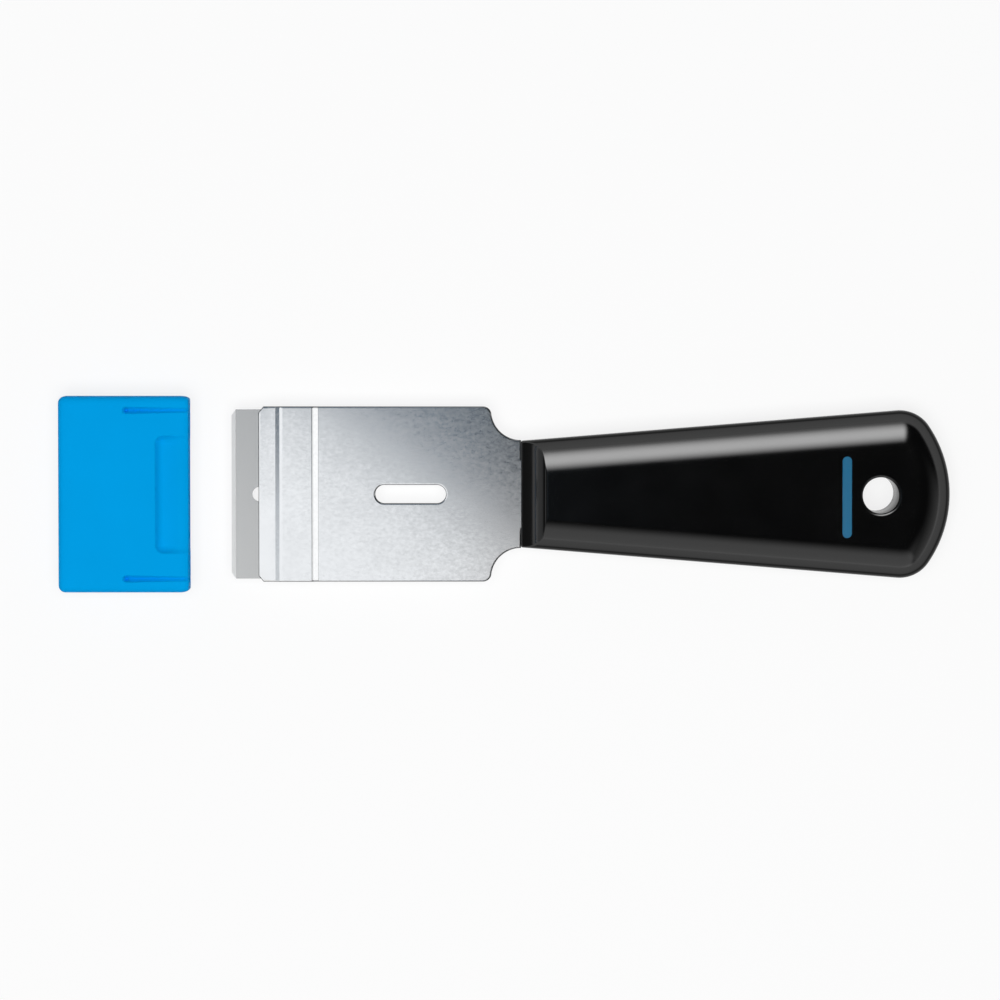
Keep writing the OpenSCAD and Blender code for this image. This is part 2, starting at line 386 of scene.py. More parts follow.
def finish_piece(
    bm: BMesh, name: str, start_x: float, materials: list[Material], sharp_degrees: float
) -> Object:
    """Makes a drawn mesh a finished object at the origin, with its place in its mesh.

    Args:
        bm: The mesh in millimetres, which is freed.
        name: The object's name.
        start_x: Where the mesh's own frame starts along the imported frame, in millimetres.
        materials: The object's materials in the order of its slots.
        sharp_degrees: Edges that turn by more than this stay sharp.

    Returns:
        The new object, linked to the scene.
    """
    bmesh.ops.recalc_face_normals(bm, faces=bm.faces)
    bmesh.ops.translate(bm, vec=(start_x, 0, MID_Z), verts=bm.verts)
    bmesh.ops.scale(bm, vec=(METRE, METRE, METRE), verts=bm.verts)
    for face in bm.faces:
        face.smooth = True
    for edge in bm.edges:
        edge.smooth = edge.calc_face_angle(0.0) < math.radians(sharp_degrees)
    mesh = bpy.data.meshes.new(name)
    bm.to_mesh(mesh)
    bm.free()
    for material in materials:
        mesh.materials.append(material)
    piece = bpy.data.objects.new(name, mesh)
    bpy.context.scene.collection.objects.link(piece)
    return piece


def hand_over(piece: Object, body: Body, node: str) -> None:
    """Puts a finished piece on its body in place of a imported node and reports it.

    Args:
        piece: The finished piece.
        body: The body that it rides on.
        node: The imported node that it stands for.
    """
    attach(piece, body.value)
    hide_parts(node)
    log.info("%s: %d faces, on %s", piece.name, len(piece.data.polygons), body.value)


@dataclass(frozen=True)
class MouldedBlack:
    """Black ABS, injection moulded in a finely polished tool.

    It shows soft-edged reflections with a faint grain from the tool, and a plain printed stripe.
    """

    colour: str = "#030303"
    stripe_colour: str = "#056891"
    roughness: float = 0.15
    ior: float = 1.52
    specular: float = 0.5
    edge_specular: float = 0.01
    edge_facing: tuple[float, float] = (0.3, 0.58)
    grain_mm: float = 0.35
    grain_height_mm: float = 0.0016
    ripple_mm: float = 9.0
    ripple_roughness: float = 0.02
    stripe_x: float = 78.3
    stripe_y: float = -0.4
    stripe_half_l: float = 9.3
    stripe_half_w: float = 1.05
    stripe_blur: float = 0.08

    def material(self) -> Material:
        """Builds the material from its nodes.

        Returns:
            The material.
        """
        material, tree, place = new_material("black_abs_moulded")
        inks = {"A": to_linear(self.colour), "B": to_linear(self.stripe_colour)}
        inks["Factor"] = self.stripe_mask(tree, place)
        facing = add_node(tree, "LayerWeight", {}, {"Blend": 0.5}).outputs["Facing"]
        ripple = noise(tree, place, self.ripple_mm)
        surface = {
            "Base Color": add_node(tree, "Mix", {"data_type": "RGBA"}, inks).outputs["Result"],
            "Roughness": vary(tree, ripple, self.roughness, self.ripple_roughness),
            "Specular IOR Level": ramp(tree, facing, self.edge_facing, (self.specular, self.edge_specular)),
            "Normal": relief(tree, noise(tree, place, self.grain_mm), self.grain_height_mm),
            "IOR": self.ior,
        }
        set_inputs(tree, tree.nodes["Shader"], surface)
        return material

    def stripe_mask(self, tree: NodeTree, place: NodeSocket) -> NodeSocket:
        """Draws the plain printed stripe with round ends, on the upper face alone.

        Args:
            tree: The material's tree.
            place: The Object coordinates.

        Returns:
            A socket that is 1 on the stripe and 0 elsewhere.
        """
        straight = (self.stripe_half_l - self.stripe_half_w) * METRE
        middle = Vector((self.stripe_x, self.stripe_y, 0.0)) * METRE
        apart = calculate_vector(tree, "ABSOLUTE", calculate_vector(tree, "SUBTRACT", place, middle))
        past_end = calculate_vector(tree, "SUBTRACT", apart, Vector((0.0, straight, 0.0)))
        corner = calculate_vector(tree, "MAXIMUM", past_end, Vector())
        flat = calculate_vector(tree, "MULTIPLY", corner, Vector((1.0, 1.0, 0.0)))
        away = add_node(tree, "VectorMath", {"operation": "LENGTH"}, {0: flat}).outputs["Value"]
        outside = (self.stripe_half_w + self.stripe_blur) * METRE
        inside = (self.stripe_half_w - self.stripe_blur) * METRE
        height = add_node(tree, "SeparateXYZ", {}, {"Vector": place}).outputs["Z"]
        above = calculate(tree, "GREATER_THAN", height, MID_Z * METRE)
        return calculate(tree, "MULTIPLY", ramp(tree, away, (outside, inside)), above)


@dataclass(frozen=True)
class RolledSteel:
    """Cold-rolled sheet steel, stamped and degreased, left bare.

    It shows a broad soft sheen, and a mottled grain wherever its surroundings change from light to dark.
    """

    name: str = "cold_rolled_steel_sheet"
    colour: str = "#d7d8d9"
    roughness: float = 0.12
    mottle_mm: float = 0.6
    mottle_stretch: float = 1.5
    mottle_detail: float = 5.0
    mottle_fade: float = 0.65
    mottle_half: float = 0.15
    mottle_height_mm: float = 0.001
    mottle_roughness: float = 0.03
    cloud_mm: float = 9.0
    cloud_detail: float = 3.0
    cloud_shade: float = 0.02

    def material(self) -> Material:
        """Builds the material from its nodes.

        Returns:
            The material.
        """
        material, tree, place = new_material(self.name)
        rolled = stretch(tree, place, (1.0 / self.mottle_stretch, 1.0, 1.0))
        mottle = noise(tree, rolled, self.mottle_mm, self.mottle_detail, self.mottle_fade)
        cloud = noise(tree, place, self.cloud_mm, self.cloud_detail)
        surface = {
            "Base Color": tint(tree, self.colour, vary(tree, cloud, 1.0, self.cloud_shade)),
            "Roughness": vary(tree, mottle, self.roughness, self.mottle_roughness, self.mottle_half),
            "Normal": relief(tree, mottle, self.mottle_height_mm),
            "Metallic": 1.0,
        }
        set_inputs(tree, tree.nodes["Shader"], surface)
        return material


@dataclass(frozen=True)
class GroundSteel:
    """Hardened steel strip, dull from its rolling, or bright where a wheel has ground it.

    It shows fine lines that run along the strip.
    """

    name: str
    colour: str
    roughness: float
    line_mm: float = 0.06
    line_stretch: float = 60.0
    line_half: float = 0.25
    line_shade: float = 0.04

    def material(self) -> Material:
        """Builds the material from its nodes.

        Returns:
            The material.
        """
        material, tree, place = new_material(self.name)
        across = per_metre(self.line_mm)
        along = per_metre(self.line_mm * self.line_stretch)
        lines = noise(tree, stretch(tree, place, (across, along, 0.0)), 1.0 / METRE)
        shade = vary(tree, lines, 1.0, self.line_shade, self.line_half)
        colour = tint(tree, self.colour, shade)
        surface = {"Base Color": colour, "Roughness": self.roughness, "Metallic": 1.0}
        set_inputs(tree, tree.nodes["Shader"], surface)
        return material


@dataclass(frozen=True)
class MouldedBlue:
    """Blue polypropylene, injection moulded in a blasted tool.

    It shows an even, satin colour with hardly any reflection and a very fine grain.
    """

    colour: str = "#00a3ec"
    roughness: float = 0.55
    specular: float = 0.03
    grain_mm: float = 0.4
    grain_height_mm: float = 0.003
    cloud_mm: float = 12.0
    cloud_shade: float = 0.015

    def material(self) -> Material:
        """Builds the material from its nodes.

        Returns:
            The material.
        """
        material, tree, place = new_material("blue_polypropylene_moulded")
        shade = vary(tree, noise(tree, place, self.cloud_mm), 1.0, self.cloud_shade)
        surface = {
            "Base Color": tint(tree, self.colour, shade),
            "Roughness": self.roughness,
            "Specular IOR Level": self.specular,
            "Normal": relief(tree, noise(tree, place, self.grain_mm), self.grain_height_mm),
        }
        set_inputs(tree, tree.nodes["Shader"], surface)
        return material


@dataclass
class Handle:
    """The moulded handle: round-sided, tapered, with a hollowed nose and a hanging hole.

    The side is swept along the plan outline on which the centres of its rounding lie: a straight
    run from the nose to the tail's corner, a turn about that corner, and the curve across the tail.
    """

    front_x: float = 66.6
    tail_x: float = 165.2
    half_t: float = 8.5
    side_r: float = 8.0
    front_centre_y: float = 4.25
    tail_centre_y: float = 11.3
    tail_arc_r: float = 20.0
    nose_half_t: float = 2.2
    nose_l: float = 5.6
    nose_r: float = 9.5
    nose_edge_r: float = 0.7
    nose_side_r: float = 0.6
    nose_margin: float = 0.6
    lip_r: float = 0.4
    seam_depth: float = 0.06
    seam_half_w: float = 0.14
    bore_x: float = 148.8
    bore_r: float = 4.15
    bore_edge_r: float = 0.6
    tang_half_w: float = 8.0
    tang_half_t: float = 0.8
    tang_l: float = 50.0
    flat_margin: float = 0.15
    lip_rows: int = 4
    hollow_rows: int = 13
    edge_rows: int = 14
    side_rows: int = 36
    corner_columns: int = 20
    tail_columns: int = 14
    bore_rows: int = 6
    bore_columns: int = 72
    run_shares: tuple[float, ...] = (0.012, 0.2, 0.4, 0.6, 0.8, 1.0)
    sharp_degrees: float = 50.0

    def __post_init__(self) -> None:
        """Works out the outline's corners and the centre of the nose's hollow."""
        self.half_flat = self.half_t - self.side_r
        self.front_centre = Vector((self.front_x, self.front_centre_y))
        self.arc_centre = Vector((self.tail_x - self.side_r - self.tail_arc_r, 0.0))
        self.corner_turn = math.asin(self.tail_centre_y / self.tail_arc_r)
        across = math.cos(self.corner_turn) * self.tail_arc_r
        self.tail_corner = Vector((self.arc_centre.x + across, self.tail_centre_y))
        self.run = (self.tail_corner - self.front_centre).normalized()
        self.side_turn = math.atan2(self.run.y, self.run.x) + QUARTER
        rise = self.half_t - self.nose_half_t
        chord = math.hypot(self.nose_l, rise)
        reach = math.sqrt(self.nose_r**2 - (chord / 2) ** 2)
        self.hollow_x = self.front_x + self.nose_l / 2 - reach * rise / chord
        self.hollow_z = self.nose_half_t + rise / 2 + reach * self.nose_l / chord

    def nose_stations(self) -> list[tuple[float, float, float]]:
        """Lists the sections of the nose: the lip's rounding, the hollow, and its rounded upper edge.

        Returns:
            For each section its X, its half height, and how far it is drawn in for the lip.
        """
        stations = []
        for step in range(self.lip_rows):
            turn = math.radians(90 * step / self.lip_rows)
            x = self.front_x + self.lip_r * (1 - math.cos(turn))
            stations.append((x, self.hollow_height(x), self.lip_r * (1 - math.sin(turn))))
        edge_r = self.nose_edge_r
        edge_z = self.half_t - edge_r
        edge_x = self.hollow_x + math.sqrt((self.nose_r + edge_r) ** 2 - (edge_z - self.hollow_z) ** 2)
        touch = math.atan2(edge_z - self.hollow_z, edge_x - self.hollow_x)
        low = math.asin((self.hollow_height(self.front_x + self.lip_r) - self.hollow_z) / self.nose_r)
        for step in range(self.hollow_rows):
            turn = low + (touch - low) * step / self.hollow_rows
            x = self.hollow_x + self.nose_r * math.cos(turn)
            stations.append((x, self.hollow_z + self.nose_r * math.sin(turn), 0.0))
        for step in range(self.edge_rows + 1):
            turn = (touch + math.pi) + (QUARTER - touch - math.pi) * step / self.edge_rows
            stations.append((edge_x + edge_r * math.cos(turn), edge_z + edge_r * math.sin(turn), 0.0))
        return stations

    def hollow_height(self, x: float) -> float:
        """Gives the height of the nose's hollow at a place along the handle."""
        return self.hollow_z - math.sqrt(self.nose_r**2 - (x - self.hollow_x) ** 2)

    def section(self, height: float, inset: float) -> list[tuple[float, float]]:
        """Draws one section of the side from the middle plane up to its flat top.

        Args:
            height: Half the section's height.
            inset: How far the whole section is drawn in.

        Returns:
            Distance out from the outline and height, row by row.
        """
        radius = self.side_r - inset
        edge_r = self.nose_side_r
        edge_up = min(height - inset - edge_r - self.half_flat, radius - edge_r)
        edge_out = math.sqrt(max((radius - edge_r) ** 2 - edge_up**2, 0.0))
        edge_z = self.half_flat + edge_up
        join = math.atan2(edge_up, edge_out)
        side_l = radius * join
        edge_l = edge_r * (QUARTER - join)
        rows = [(radius - self.seam_depth, 0.0), (radius, self.seam_half_w)]
        for row in range(self.side_rows + 1):
            along = (side_l + edge_l) * row / self.side_rows
            if along <= side_l:
                turn = along / radius
                rows.append((radius * math.cos(turn), self.half_flat + radius * math.sin(turn)))
            else:
                turn = join + (along - side_l) / edge_r
                rows.append((edge_out + edge_r * math.cos(turn), edge_z + edge_r * math.sin(turn)))
        return rows

    def columns(self) -> list[list[Vector]]:
        """Lists the points of a quarter of the side.

        Returns:
            The points of each section, from nose to tail.
        """
        out = Vector((math.cos(self.side_turn), math.sin(self.side_turn)))
        full = self.section(self.half_t, 0.0)
        columns = []
        for x, height, inset in self.nose_stations():
            starts = [(self.front_centre + out * reach, z) for reach, z in self.section(height, inset)]
            plans = [(start + self.run * ((x - start.x) / self.run.x), z) for start, z in starts]
            columns.append([Vector((*plan, z)) for plan, z in plans])
        nose_end = columns[-1]
        run_end = [Vector((*(self.tail_corner + out * reach), z)) for reach, z in full]
        for share in self.run_shares:
            columns.append([near.lerp(far, share) for near, far in zip(nose_end, run_end)])
        for step in range(1, self.corner_columns + 1):
            turn = self.side_turn + (self.corner_turn - self.side_turn) * step / self.corner_columns
            columns.append(self.swept(self.tail_corner, turn, full))
        for step in range(1, self.tail_columns + 1):
            turn = self.corner_turn * (1 - step / self.tail_columns)
            centre = self.arc_centre + Vector((math.cos(turn), math.sin(turn))) * self.tail_arc_r
            columns.append(self.swept(centre, turn, full))
        return columns

    def swept(self, centre: Vector, turn: float, rows: list[tuple[float, float]]) -> list[Vector]:
        """Stands one section on a centre of the outline, turned to face the given way."""
        plans = [(centre.x + reach * math.cos(turn), centre.y + reach * math.sin(turn)) for reach, _ in rows]
        return [Vector((*plan, z)) for plan, (_, z) in zip(plans, rows)]

    def build(self, finish: MouldedBlack) -> Object:
        """Builds the handle.

        Args:
            finish: The handle's finish.

        Returns:
            The finished piece.
        """
        bm = bmesh.new()
        points = lay_sheet(bm, self.columns())
        self.close_nose(bm, [line[-1] for line in points[: len(self.nose_stations())]])
        merge(bm)
        mirror(bm, "Y")
        self.bore(bm)
        self.close_top(bm)
        mirror(bm, "Z")
        self.close_front(bm)
        return finish_piece(bm, "moulded_handle", EDGE_X, [finish.material()], self.sharp_degrees)

    def close_nose(self, bm: BMesh, rim: list[BMVert]) -> None:
        """Runs the hollow of the nose from its rounded side edge in to the middle.

        Args:
            bm: The quarter of the handle.
            rim: The inner points of the nose's sections.
        """
        for depth in (self.nose_margin, None):
            edges = [edge for edge in bm.edges if edge.verts[0] in rim and edge.verts[1] in rim]
            rim, _ = pull_rim(bm, edges)
            for point in rim:
                point.co.y = 0.0 if depth is None else point.co.y - depth

    def bore(self, bm: BMesh) -> None:
        """Turns the upper half of the hanging hole, from its rounded edge down to the middle plane.

        Args:
            bm: The upper half of the handle.
        """
        edge = bmesh.new()
        start = edge.verts.new((self.bore_x + self.bore_r + self.bore_edge_r, 0.0, self.half_t))
        pen = Pen(edge, start, ALONG_Y)
        pen.arc(start.co - UP * self.bore_edge_r, -90, self.bore_rows)
        pen.line_to(self.bore_x + self.bore_r, 0.0, 0.0)
        round_trip = {"angle": math.tau, "steps": self.bore_columns, "use_merge": True}
        bmesh.ops.spin(edge, geom=everything(edge), cent=(self.bore_x, 0, 0), axis=UP, **round_trip)
        join_mesh(bm, edge)

    def close_top(self, bm: BMesh) -> None:
        """Fills the flat top round the hanging hole and gives it a narrow flat margin.

        Args:
            bm: The upper half of the handle.
        """
        low = Vector((self.front_x, -self.tail_x, self.half_t - MERGE))
        high = Vector((self.tail_x, self.tail_x, self.half_t + MERGE))
        flats = fill_flat(bm, open_edges(bm, low, high), (0, 0, 1))
        bmesh.ops.inset_region(bm, faces=flats, thickness=self.flat_margin, use_even_offset=True)

    def close_front(self, bm: BMesh) -> None:
        """Fills the narrow front face and sinks the slit that the tangs sit in.

        Args:
            bm: The handle.
        """
        slit = [
            bm.verts.new((self.front_x, side_y * self.tang_half_w, side_z * self.tang_half_t))
            for side_y, side_z in ((-1, -1), (1, -1), (1, 1), (-1, 1))
        ]
        slit_edges = [bm.edges.new((start, end)) for start, end in zip(slit, slit[1:] + slit[:1])]
        low = Vector((self.front_x - NEAR, -self.tail_x, -self.half_t))
        high = Vector((self.front_x + NEAR, self.tail_x, self.half_t))
        fill_flat(bm, open_edges(bm, low, high) + slit_edges, (-1, 0, 0))
        deep, end = pull_rim(bm, slit_edges)
        bmesh.ops.translate(bm, vec=(self.tang_l, 0, 0), verts=deep)
        bmesh.ops.edgeloop_fill(bm, edges=end)


@dataclass
class Leaf:
    """One stamped leaf of the blade holder: lip, raised band, flat with a slot, neck and tang."""

    turn: Turn
    sheet_t: float = 0.8
    half_w: float = 20.15
    lip_x: float = 6.24
    lip_z: float = 0.2
    channel_z: float = 0.55
    front_bend: float = 10.18
    band_start: float = 11.45
    band_end: float = 18.45
    rear_bend: float = 19.79
    flat_start: float = 26.0
    tight_r: float = 0.25
    front_top_r: float = 2.5
    bend_margin: float = 0.06
    lip_clip_w: float = 1.4
    lip_clip_d: float = 1.1
    slot_x: float = 41.2
    slot_half_l: float = 8.15
    slot_r: float = 2.125
    shoulder_x: float = 59.788
    shoulder_y: float = 18.2
    shoulder_r: float = 1.95
    neck_x: float = 66.6
    neck_centre_y: float = 19.3
    neck_r: float = 6.9
    tang_end: float = 116.6
    tang_half_w: float = 8.0
    tang_r: float = 3.0
    tang_holes: tuple[float, float] = (80.6, 102.6)
    tang_hole_r: float = 3.0
    margin: float = 0.4
    edge_roll: float = 0.18
    edge_break: float = 0.07
    roll_steps: int = 4
    break_steps: int = 2
    shoulder_steps: int = 12
    neck_steps: int = 16
    tang_steps: int = 8
    slot_steps: int = 24
    hole_steps: int = 36
    wall_normal: float = 0.3
    face_normal: float = 0.7
    cut_normal: float = 0.9
    sharp_degrees: float = 40.0

    def build(self, finish: RolledSteel, cut: RolledSteel) -> Object:
        """Builds the leaf.

        Args:
            finish: The finish of the sheet's faces.
            cut: The finish of its sheared edges, whose dark colour is painted shade along the cut rim.

        Returns:
            The finished piece.
        """
        bm = bmesh.new()
        self.draw_flat(bm)
        self.fold_front(bm)
        merge(bm)
        bmesh.ops.recalc_face_normals(bm, faces=bm.faces)
        if sum(face.normal.z * face.calc_area() for face in bm.faces) > 0:
            bmesh.ops.reverse_faces(bm, faces=bm.faces)
        bmesh.ops.solidify(bm, geom=bm.faces[:], thickness=self.sheet_t)
        self.round_edges(bm)
        # Faces that lean well away from the sheet's faces take the cut edge's finish, whose dark colour is
        # painted shade.
        for face in bm.faces:
            face.material_index = int(abs(face.normal.z) < self.cut_normal)
        if self.turn is Turn.LOWER:
            bmesh.ops.rotate(bm, cent=(0, 0, 0), matrix=Matrix.Rotation(math.pi, 3, "X"), verts=bm.verts)
        name = f"{self.turn.name.lower()}_spring_leaf"
        return finish_piece(bm, name, EDGE_X, [finish.material(), cut.material()], self.sharp_degrees)

    def draw_flat(self, bm: BMesh) -> None:
        """Draws and fills the flat of the leaf with its slot, shoulders, neck and tang.

        Args:
            bm: The leaf's empty mesh.
        """
        pen = Pen(bm, bm.verts.new((self.flat_start, 0, 0)), UP)
        pen.line_to(self.flat_start, self.half_w - self.margin, 0)
        pen.line_to(self.flat_start, self.half_w, 0)
        shoulder_start = self.shoulder_x - self.shoulder_r
        pen.line_to(shoulder_start, self.half_w, 0)
        pen.arc(Vector((shoulder_start, self.shoulder_y, 0)), -90, self.shoulder_steps)
        below = math.degrees(math.asin((self.neck_centre_y - self.shoulder_y) / self.neck_r))
        pen.arc(Vector((self.neck_x, self.neck_centre_y, 0)), 90 - below, self.neck_steps)
        pen.line_to(self.neck_x, self.tang_half_w, 0)
        corner = Vector((self.tang_end - self.tang_r, self.tang_half_w - self.tang_r, 0))
        pen.line_to(self.tang_end - self.tang_r, self.tang_half_w, 0)
        pen.arc(corner, -90, self.tang_steps)
        pen.line_to(self.tang_end, 0, 0)
        mirror(bm, "Y")
        reach = self.slot_half_l - self.slot_r
        for side in (-1, 1):
            end = Vector((self.slot_x + side * reach, 0, 0))
            pen = Pen(bm, bm.verts.new(end + ALONG_Y * side * self.slot_r), UP)
            pen.arc(end, -180, self.slot_steps)
            pen.line_to(self.slot_x - side * reach, -side * self.slot_r, 0)
        for hole in self.tang_holes:
            place = Matrix.Translation((hole, 0, 0))
            bmesh.ops.create_circle(bm, segments=self.hole_steps, radius=self.tang_hole_r, matrix=place)
        merge(bm)
        fill_flat(bm, bm.edges[:], (0, 0, 1))
        rim = {"thickness": self.margin, "use_even_offset": True, "use_boundary": True}
        bmesh.ops.inset_region(bm, faces=bm.faces[:], **rim)
        bmesh.ops.dissolve_degenerate(bm, dist=NEAR, edges=bm.edges[:])

    def fold_front(self, bm: BMesh) -> None:
        """Folds the front of the leaf over the blade's spine and clips the lip's corners.

        Args:
            bm: The leaf's flat, which gets the front.
        """
        wide_r = self.tight_r + self.sheet_t
        strip = bmesh.new()
        pen = Pen(strip, strip.verts.new((self.lip_x, -self.half_w, self.lip_z)), ALONG_Y)
        corners = [
            (self.lip_x + self.margin, self.lip_z, 0.0),
            (self.front_bend, self.lip_z, wide_r),
            (self.band_start, self.channel_z, self.front_top_r),
            (self.band_end, self.channel_z, self.tight_r),
            (self.rear_bend, 0.0, wide_r),
            (self.flat_start, 0.0, 0.0),
        ]
        for (x, z, radius), after in zip(corners, corners[1:] + corners[-1:]):
            corner = Vector((x, -self.half_w, z))
            if radius:
                pen.bend(corner, Vector((after[0], -self.half_w, after[1])), radius, self.bend_margin)
            else:
                pen.line_to(*corner)
        edges = strip.edges[:]
        for y in (self.margin - self.half_w, 0.0, self.half_w - self.margin, self.half_w):
            points, edges = pull_rim(strip, edges)
            for point in points:
                point.co.y = y
        for side in (-1, 1):
            start = (self.lip_x, side * (self.half_w - self.lip_clip_w), 0)
            way = (-self.lip_clip_w, side * self.lip_clip_d, 0)
            cut = {"plane_co": start, "plane_no": way, "clear_outer": True}
            bmesh.ops.bisect_plane(strip, geom=everything(strip), **cut)
        join_mesh(bm, strip)

    def round_edges(self, bm: BMesh) -> None:
        """Rolls the cut edges of the outer face over, as the punch does, and breaks the inner ones.

        Args:
            bm: The leaf in its full thickness.
        """
        roundings = ((True, self.edge_roll, self.roll_steps), (False, self.edge_break, self.break_steps))
        for outer, width, steps in roundings:
            edges = []
            for edge in bm.edges:
                walls = [face for face in edge.link_faces if abs(face.normal.z) < self.wall_normal]
                sheets = [face for face in edge.link_faces if abs(face.normal.z) > self.face_normal]
                if walls and sheets and (sheets[0].normal.z > 0) == outer:
                    edges.append(edge)
            round_over(bm, edges, width, steps)


@dataclass
class RazorBlade:
    """The single-edge blade with its clipped corners, its hole and its ground edge."""

    half_w: float = 19.5
    depth: float = 17.95
    half_t: float = 0.15
    bevel_w: float = 0.92
    edge_half_t: float = 0.008
    clip_w: float = 1.4
    clip_d: float = 1.0
    hole_x: float = 6.4
    hole_r: float = 1.6
    hole_steps: int = 48
    sharp_degrees: float = 4.0

    def build(self, faces: GroundSteel, edge: GroundSteel) -> Object:
        """Builds the blade.

        Args:
            faces: The finish of the strip's faces.
            edge: The finish of the ground edge.

        Returns:
            The finished piece.
        """
        bm = bmesh.new()
        pen = Pen(bm, bm.verts.new((0, 0, 0)), UP)
        pen.line_to(0, self.half_w - self.clip_w, 0)
        pen.line_to(self.clip_d, self.half_w, 0)
        pen.line_to(self.depth, self.half_w, 0)
        pen.line_to(self.depth, 0, 0)
        mirror(bm, "Y")
        place = Matrix.Translation((self.hole_x, 0, 0))
        bmesh.ops.create_circle(bm, segments=self.hole_steps, radius=self.hole_r, matrix=place)
        fill_flat(bm, bm.edges[:], (0, 0, 1))
        bmesh.ops.bisect_plane(bm, geom=everything(bm), plane_co=(self.bevel_w, 0, 0), plane_no=(1, 0, 0))
        upper = set(parts_of(bmesh.ops.extrude_face_region(bm, geom=bm.faces[:]), BMVert))
        for point in bm.verts:
            share = min(max(point.co.x / self.bevel_w, 0.0), 1.0)
            half = self.edge_half_t + (self.half_t - self.edge_half_t) * share
            point.co.z = half if point in upper else -half
        for face in bm.faces:
            face.material_index = int(face.calc_center_median().x < self.bevel_w)
        materials = [faces.material(), edge.material()]
        return finish_piece(bm, "single_edge_blade", EDGE_X, materials, self.sharp_degrees)


@dataclass
class BladeSpine:
    """The strip folded over the blade's back."""

    front_x: float = 11.6
    back_x: float = 18.3
    half_t: float = 0.5
    fold_t: float = 0.35
    half_w: float = 19.0
    edge_r: float = 0.1
    edge_steps: int = 3
    fold_steps: int = 16
    sharp_degrees: float = 35.0

    def build(self, finish: RolledSteel) -> Object:
        """Builds the spine.

        Args:
            finish: The strip's finish.

        Returns:
            The finished piece.
        """
        bm = bmesh.new()
        inner_x = self.back_x - self.fold_t
        inner_z = self.half_t - self.fold_t
        round_x = self.back_x - self.half_t
        pen = Pen(bm, bm.verts.new((self.front_x, -self.half_w, self.half_t)), ALONG_Y)
        pen.line_to(round_x, -self.half_w, self.half_t)
        pen.arc(Vector((round_x, -self.half_w, 0)), 180, self.fold_steps)
        pen.line_to(self.front_x, -self.half_w, -self.half_t)
        for x, z in ((self.front_x, -inner_z), (inner_x, -inner_z), (inner_x, inner_z)):
            pen.line_to(x, -self.half_w, z)
        pen.line_to(self.front_x, -self.half_w, inner_z)
        pen.line_to(self.front_x, -self.half_w, self.half_t)
        merge(bm)
        fill_flat(bm, bm.edges[:], (0, -1, 0))
        far = parts_of(bmesh.ops.extrude_face_region(bm, geom=bm.faces[:]), BMVert)
        bmesh.ops.translate(bm, vec=(0, 2 * self.half_w, 0), verts=far)
        rim = [
            edge
            for edge in bm.edges
            if abs(edge.verts[0].co.y - edge.verts[1].co.y) > self.half_w
            and abs(edge.verts[0].co.x - self.front_x) < MERGE
            and abs(abs(edge.verts[0].co.z) - self.half_t) < MERGE
        ]
        round_over(bm, rim, self.edge_r, self.edge_steps)
        return finish_piece(bm, "folded_spine", EDGE_X, [finish.material()], self.sharp_degrees)


